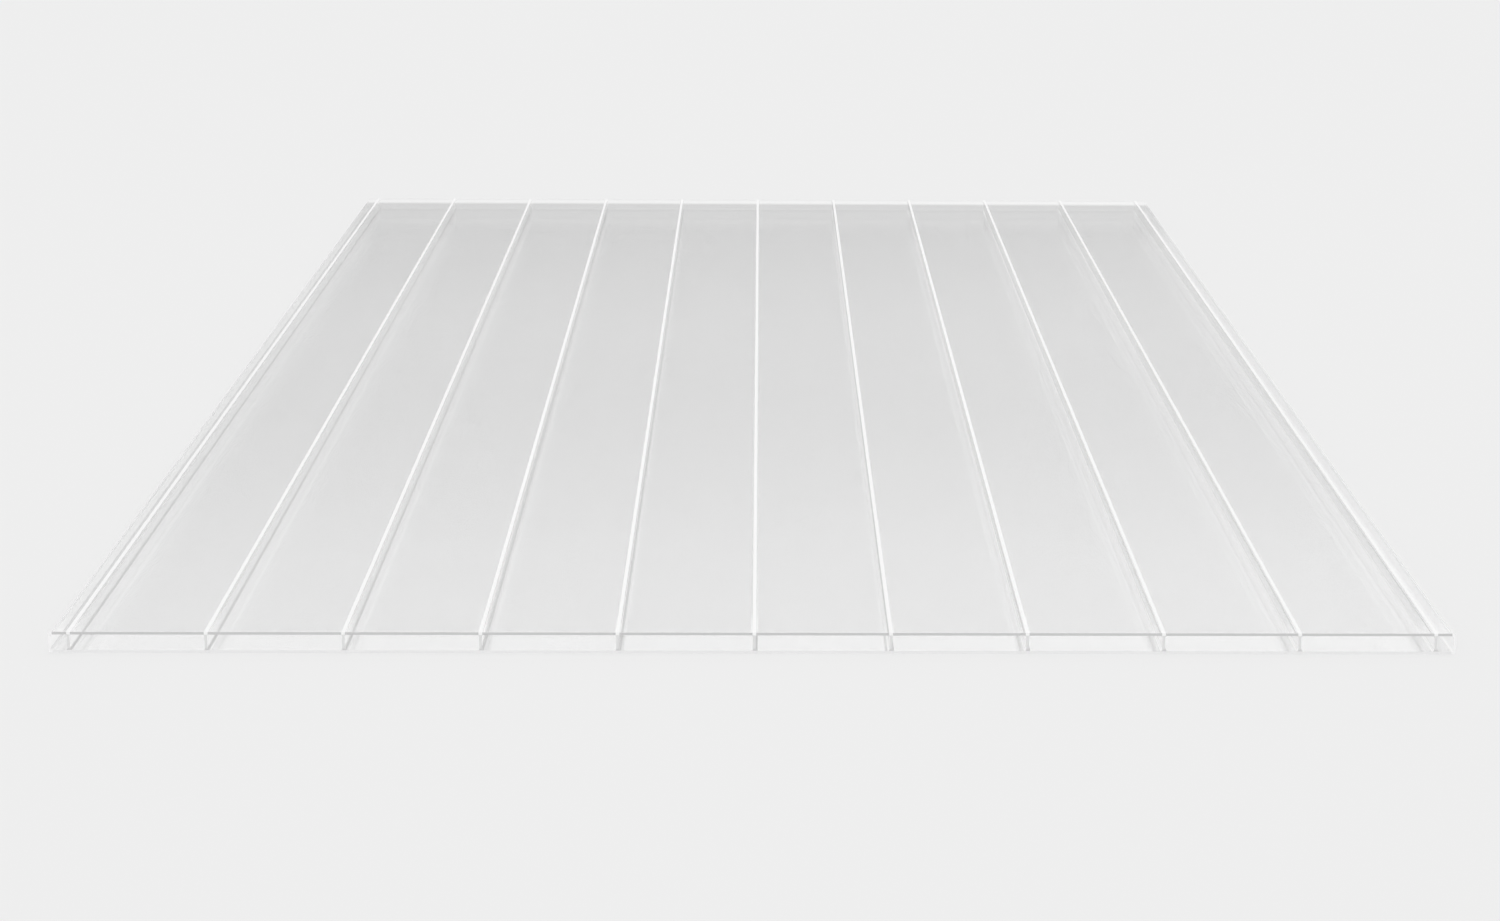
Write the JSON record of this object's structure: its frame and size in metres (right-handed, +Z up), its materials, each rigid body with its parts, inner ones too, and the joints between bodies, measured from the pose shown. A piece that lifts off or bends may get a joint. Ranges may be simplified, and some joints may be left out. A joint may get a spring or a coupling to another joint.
{
  "type": "twin-wall polycarbonate sheet",
  "caption": "Flat clear plastic glazing sheet: two skins joined by upright webs into wide open-ended chambers, with a narrow chamber along both long edges.",
  "frame": {"origin": "middle of the underside", "axes": "+Y along the chambers, +X across the width, +Z up through the thickness"},
  "size_m": [1.05, 2, 0.016],
  "materials": {
    "clear_polycarbonate": "gloss"
  },
  "bodies": {
    "root": {"twin_wall_sheet": "clear_polycarbonate"}
  },
  "joints": []
}
